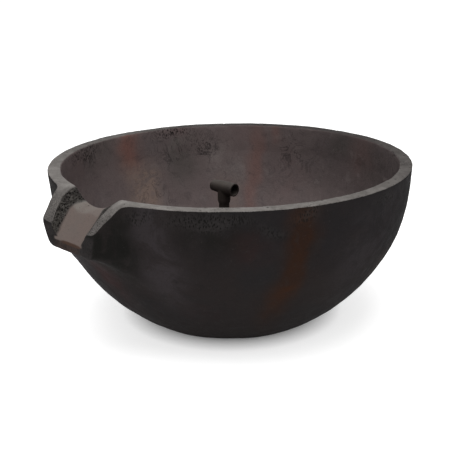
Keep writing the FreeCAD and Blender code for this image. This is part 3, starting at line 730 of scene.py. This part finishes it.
# the rim's painted-shade colours, used towards the back
RIM_PAINTED_SHADE = (0.034, 0.030, 0.029)
RIM_PAINTED_SHADE2 = (0.050, 0.044, 0.042)
SPOUT_A = (0.128, 0.106, 0.097)
SPOUT_B = (0.140, 0.124, 0.113)
SPOUT_C = (0.105, 0.086, 0.078)
SPOUT_LOW = (0.110, 0.086, 0.077)
FACE = (0.0225, 0.0200, 0.0200)
FACE_WARM = (0.0400, 0.0290, 0.0255)
CHEEK_A = (0.0235, 0.0210, 0.0194)
CHEEK_B = (0.0520, 0.0478, 0.0437)
CHEEK_DARK = (0.0140, 0.0125, 0.0115)
PIT = (0.0062, 0.0056, 0.0052)
DRIP_HALO = (0.0270, 0.0245, 0.0240)
LIP = (0.050, 0.030, 0.022)


# Stains, worn patches and painted shade are placed by where they sit round the bowl: bearing
# from the spout in degrees (+ towards +X), half width, height, half height, strength
wander = np.stack([noise(co, 0.09, 41), noise(co, 0.07, 42), noise(co, 0.03, 43)], axis=1)
bearing = np.degrees(np.arctan2(X, -Y)) + 1.8 * wander[:, 0] + 1.2 * wander[:, 2]
height = Z + 0.018 * wander[:, 1] + 0.005 * wander[:, 2]
inner_side = is_inside > 0.5


def patches(outside, inside):
    total = np.zeros(len(co))
    for where, rows in ((~inner_side, outside), (inner_side, inside)):
        for turn, half, mid, tall, strength in rows:
            d = np.abs((bearing - turn + 180) % 360 - 180)
            total += where * strength * np.exp(-(d / half) ** 2.6) * np.exp(-(np.abs(height - mid) / tall) ** 2.6)
    return np.clip(total, 0, 1)


put_attribute(bowl.data, "a_rust", patches(
    [(64.3, 3.6, 0.355, 0.060, 0.95), (62.6, 3.8, 0.270, 0.070, 0.9), (60.8, 5.0, 0.165, 0.085, 0.6), (70, 3.0, 0.32, 0.08, 0.25), (-35, 6, 0.29, 0.16, 0.8),
     (128, 6, 0.24, 0.16, 0.8), (170, 5, 0.30, 0.15, 0.7), (-100, 7, 0.24, 0.16, 0.9), (-150, 6, 0.27, 0.14, 0.6)],
    [(-91, 6.0, 0.355, 0.065, 0.85), (-144.8, 3.2, 0.26, 0.16, 0.6), (-153, 2.5, 0.38, 0.04, 0.45), (165, 7, 0.34, 0.06, 0.5),
     (100, 7, 0.33, 0.09, 0.6), (40, 6, 0.28, 0.10, 0.5), (-30, 5, 0.30, 0.08, 0.3)]))
put_attribute(bowl.data, "a_red", patches(
    [(1.5, 5.0, 0.18, 0.075, 0.9), (50, 6.5, 0.312, 0.035, 0.35), (-62, 6, 0.20, 0.07, 0.7), (105, 6, 0.16, 0.07, 0.6), (-172, 7, 0.20, 0.08, 0.6)],
    [(-161, 8, 0.27, 0.09, 0.35), (-60, 8, 0.36, 0.05, 0.30), (-140, 6, 0.36, 0.05, 0.30), (-112, 5, 0.39, 0.03, 0.4), (75, 6, 0.30, 0.08, 0.5)]))
put_attribute(bowl.data, "a_green", patches(
    [(12.5, 6.5, 0.305, 0.085, 1.0), (40, 9, 0.345, 0.05, 0.45), (47, 7, 0.33, 0.03, 0.4), (-20, 6, 0.30, 0.08, 0.7), (150, 8, 0.28, 0.09, 0.6), (-128, 8, 0.27, 0.09, 0.6)],
    [(176, 6, 0.37, 0.035, 0.75), (155, 9, 0.33, 0.05, 0.5), (-115, 7, 0.30, 0.06, 0.45), (-75, 10, 0.37, 0.04, 0.35), (120, 8, 0.32, 0.07, 0.5)]))
put_attribute(bowl.data, "a_mauve", patches(
    [(22.5, 5.5, 0.32, 0.13, 1.0), (27, 6, 0.20, 0.08, 0.5), (88, 9, 0.25, 0.13, 0.55), (100, 8, 0.35, 0.07, 0.4), (-48, 7, 0.28, 0.11, 0.7), (-80, 7, 0.26, 0.12, 0.6),
     (145, 8, 0.3, 0.1, 0.5), (4, 7, 0.115, 0.06, 0.35), (-15, 8, 0.19, 0.09, 0.8)],
    [(-129, 5, 0.30, 0.05, 0.8), (-139, 5, 0.275, 0.04, 0.7), (-114, 4, 0.338, 0.018, 0.8), (-165, 7, 0.33, 0.05, 0.35), (142, 7, 0.35, 0.05, 0.4), (20, 10, 0.25, 0.1, 0.5)]))
put_attribute(bowl.data, "a_tan", patches(
    [(35, 9, 0.13, 0.07, 0.25)],
    [(-91, 5.0, 0.30, 0.05, 0.75), (-98, 6.0, 0.25, 0.06, 0.9), (-95, 7.0, 0.20, 0.06, 0.7), (-135, 6, 0.20, 0.05, 0.5), (60, 8, 0.24, 0.08, 0.5)]))
# painted shade: low all round the outside wall, round bearing 116 outside, and on the shaded stretches inside
put_attribute(bowl.data, "a_painted_shade", patches(
    [(0, 400, 0.04, 0.15, 0.75), (116, 28, 0.24, 0.20, 1.0)],
    [(160, 44, 0.32, 0.12, 0.75), (150, 34, 0.34, 0.09, 0.35), (174, 14, 0.36, 0.06, 0.35), (-160, 14, 0.33, 0.10, 0.30), (-57, 16, 0.35, 0.09, 0.40), (100, 40, 0.33, 0.09, 0.6), (150, 30, 0.22, 0.06, 0.5)]))
put_attribute(bowl.data, "a_drip", patches(
    [(41, 9, 0.371, 0.015, 1.0), (31, 5, 0.360, 0.018, 0.4), (56, 5, 0.352, 0.012, 0.6), (66, 4, 0.374, 0.014, 0.8), (95, 6, 0.375, 0.012, 0.7), (20, 5, 0.378, 0.014, 0.6), (-30, 12, 0.372, 0.016, 0.9), (-75, 7, 0.372, 0.013, 0.7),
     (130, 12, 0.372, 0.014, 0.9), (175, 9, 0.372, 0.016, 0.8), (-125, 12, 0.372, 0.014, 0.8)],
    [(-112, 7, 0.385, 0.016, 0.8), (-66, 10, 0.385, 0.014, 0.7), (140, 10, 0.385, 0.010, 0.4), (-121, 8, 0.345, 0.03, 0.35)]))
put_attribute(bowl.data, "a_vein", patches(
    [(60, 60, 0.30, 0.08, 0.25)],
    [(-118, 11, 0.33, 0.06, 0.9), (-158, 12, 0.33, 0.07, 0.7), (-70, 10, 0.37, 0.03, 0.6), (-100, 8, 0.20, 0.04, 0.5), (30, 30, 0.3, 0.1, 0.5), (130, 25, 0.3, 0.08, 0.5)]))
# painted light on the rim top: palest at bearing 10, fading to painted shade round the back, and less on the spout's
# ridges further out
put_attribute(bowl.data, "a_rim_painted_light", (0.5 + 0.5 * np.cos(np.radians(bearing - 10))) * (1 - 0.30 * step(U, 0.425, 0.445) * in_spout) * (1 - 0.45 * in_spout * step(U, 0.455, 0.500)))

stone = concrete()
bowl.data.materials.clear()
bowl.data.materials.append(stone)
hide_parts("bowl_shell")
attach(bowl, "bowl")


# ------------------------------------------------------------- plain fittings
def plastic(name, dark, light, rough=(0.45, 0.7), specular=0.35, scale=1.0, painted_top_light=0.0):
    m = Nodes(name)
    patch = m.noise(18.0 * scale, 5, 0.6, 0.5)
    grain = m.noise(220.0 * scale, 4, 0.65)
    fine = m.noise(900.0 * scale, 2, 0.6)
    base = m.mix(m.ramp(patch, 0.35, 0.65), dark, light)
    base = m.mix(m.ramp(grain, 0.55, 0.72, 0, 0.5), base, tuple(c * 0.55 for c in dark))
    # painted top light: a paler colour on upward-facing faces
    if painted_top_light:
        geo = m.tree.nodes.new("ShaderNodeSeparateXYZ")
        nrm = m.tree.nodes.new("ShaderNodeNewGeometry")
        m.put(geo.inputs[0], nrm.outputs["Normal"])
        base = m.mix(m.math("MULTIPLY", m.ramp(geo.outputs[2], 0.2, 0.95, 0, painted_top_light), m.ramp(patch, 0.3, 0.6, 0.5, 1)), base, (0.12, 0.105, 0.092))
    height = m.math("ADD", m.math("MULTIPLY", grain, 0.6), m.math("MULTIPLY", fine, 0.3))
    return m.finish(base, m.ramp(patch, 0.3, 0.7, *rough), m.bump(height, 0.35, 0.0006), specular)


black = plastic("moulded_black", (0.012, 0.012, 0.013), (0.020, 0.020, 0.021))
pale = plastic("moulded_pale", (0.50, 0.48, 0.42), (0.62, 0.60, 0.54), painted_top_light=0.2)
rubber = plastic("seal_rubber_finish", (0.008, 0.008, 0.008), (0.014, 0.014, 0.014), (0.75, 0.9), 0.25)
painted = plastic("painted_pipe_finish", (0.0150, 0.0108, 0.0090), (0.0260, 0.0195, 0.0165), (0.60, 0.82), 0.22, painted_top_light=0.28)
for node, mat in (("bulkhead_body", black), ("lock_nut", black), ("riser_adapter", black), ("supply_adapter", black),
                  ("slip_washer", pale), ("flange_gasket", rubber), ("adapter_o_ring", rubber),
                  ("riser_pipe", painted), ("diffuser_tee", painted)):
    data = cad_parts[node].data
    data.materials.clear()
    data.materials.append(mat)


# ------------------------------------------------------- floor, light, world
floor_mesh = bpy.data.meshes.new("floor")
S = 14.0
floor_mesh.from_pydata([(-S, -S, -0.0005), (S, -S, -0.0005), (S, S, -0.0005), (-S, S, -0.0005)], [], [(0, 1, 2, 3)])
floor_obj = bpy.data.objects.new("floor", floor_mesh)
scene.collection.objects.link(floor_obj)
# the floor glows with white emission: painted light, lighting the bowl from below as well
fm = Nodes("studio_floor")
fm.shader.inputs["Emission Color"].default_value = (1.0, 1.0, 1.0, 1.0)
fm.shader.inputs["Emission Strength"].default_value = 0.60
floor_obj.data.materials.append(fm.finish((0.86, 0.86, 0.86), 0.9, None, 0.0))
# the floor's glow fades out under the bowl: a painted contact shadow round the foot, on top of the bowl's own shade
ft = floor_obj.data.materials[0].node_tree
f_coord = ft.nodes.new("ShaderNodeTexCoord")
f_offset = ft.nodes.new("ShaderNodeVectorMath")
f_offset.operation = "SUBTRACT"
f_offset.inputs[1].default_value = (0.0, AXIS_Y, 0.0)
f_radius = ft.nodes.new("ShaderNodeVectorMath")
f_radius.operation = "LENGTH"
f_glow_painted_shadow = ft.nodes.new("ShaderNodeMapRange")
f_glow_painted_shadow.inputs["From Min"].default_value = 0.200
f_glow_painted_shadow.inputs["From Max"].default_value = 0.292
f_glow_painted_shadow.inputs["To Min"].default_value = 0.0
f_glow_painted_shadow.inputs["To Max"].default_value = 0.63
ft.links.new(f_coord.outputs["Object"], f_offset.inputs[0])
ft.links.new(f_offset.outputs["Vector"], f_radius.inputs[0])
ft.links.new(f_radius.outputs["Value"], f_glow_painted_shadow.inputs["Value"])
ft.links.new(f_glow_painted_shadow.outputs[0], fm.shader.inputs["Emission Strength"])

world = bpy.data.worlds.new("studio")
scene.world = world
world.use_nodes = True
world.node_tree.nodes["Background"].inputs[0].default_value = (1.0, 1.0, 1.0, 1.0)
# softbox overhead, brighter screen round the horizon
wt = world.node_tree
w_coord = wt.nodes.new("ShaderNodeTexCoord")
w_split = wt.nodes.new("ShaderNodeSeparateXYZ")
w_range = wt.nodes.new("ShaderNodeMapRange")
w_range.interpolation_type = "SMOOTHSTEP"
wt.links.new(w_coord.outputs["Generated"], w_split.inputs[0])
wt.links.new(w_split.outputs[2], w_range.inputs["Value"])
w_range.inputs["From Min"].default_value = 0.10
w_range.inputs["From Max"].default_value = 0.26
w_range.inputs["To Min"].default_value = 1.03
w_range.inputs["To Max"].default_value = 0.58
wt.links.new(w_range.outputs[0], wt.nodes["Background"].inputs[1])


def area(name, at, aim, size, power):
    data = bpy.data.lights.new(name, "AREA")
    data.shape = "RECTANGLE"
    data.size, data.size_y = size
    data.energy = power
    made = bpy.data.objects.new(name, data)
    scene.collection.objects.link(made)
    made.location = at
    made.rotation_euler = (Vector(aim) - Vector(at)).to_track_quat("-Z", "Y").to_euler()
    return made


area("key_top", (0.15, -0.35, 2.6), (0, 0, 0.2), (2.6, 2.6), 60.0)
scene.view_settings.view_transform = "Standard"
scene.view_settings.look = "None"
scene.view_settings.exposure = 0.0
scene.view_settings.gamma = 1.0
